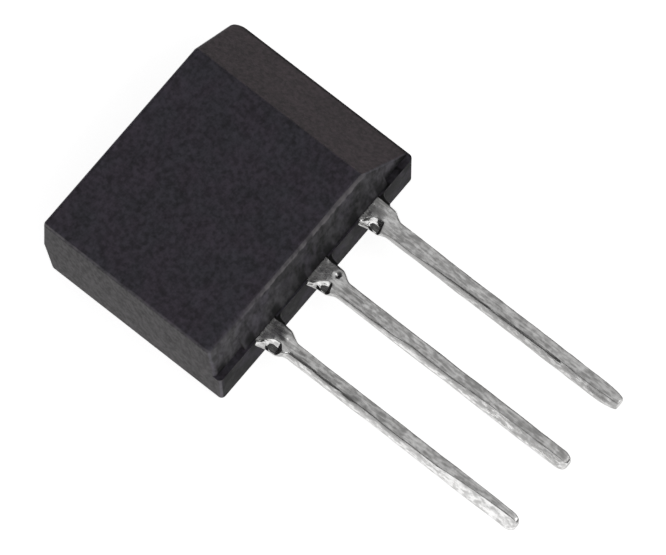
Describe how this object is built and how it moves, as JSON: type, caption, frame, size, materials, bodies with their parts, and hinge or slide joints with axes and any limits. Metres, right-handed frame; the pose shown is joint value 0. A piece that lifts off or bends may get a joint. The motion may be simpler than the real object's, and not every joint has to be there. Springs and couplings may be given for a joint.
{
  "type": "triac",
  "caption": "Black moulded power switch for mains current: a flat rectangular body with one sloped side and a row of straight tinned leads leaving one edge.",
  "frame": {"origin": "centre of the flat back face", "axes": "+X across the leads towards the sloped side, -Y the way the leads point, +Z out of the front face"},
  "size_m": [0.0094, 0.0174, 0.0044],
  "materials": {
    "epoxy": "matt moulding resin with a fine even grain",
    "tinned_copper": "copper alloy strip, dipped in solder outside the body, slightly lumpy and satin",
    "solder": "dull soft solder",
    "silicon": "diced silicon, dark grey and glossy",
    "passivation_glass": "fused glass in the groove",
    "contact_metal": "evaporated metal, satin",
    "bond_wire": "drawn wire, bright"
  },
  "bodies": {
    "root": {"moulded_body": "epoxy", "centre_lead_and_flag": "tinned_copper", "mt1_lead": "tinned_copper", "gate_lead": "tinned_copper", "chip_solder": "solder", "triac_chip": "silicon", "moat_glass": "passivation_glass", "mt1_contact": "contact_metal", "gate_contact": "contact_metal", "mt1_wire": "bond_wire", "gate_wire": "bond_wire"}
  },
  "joints": []
}
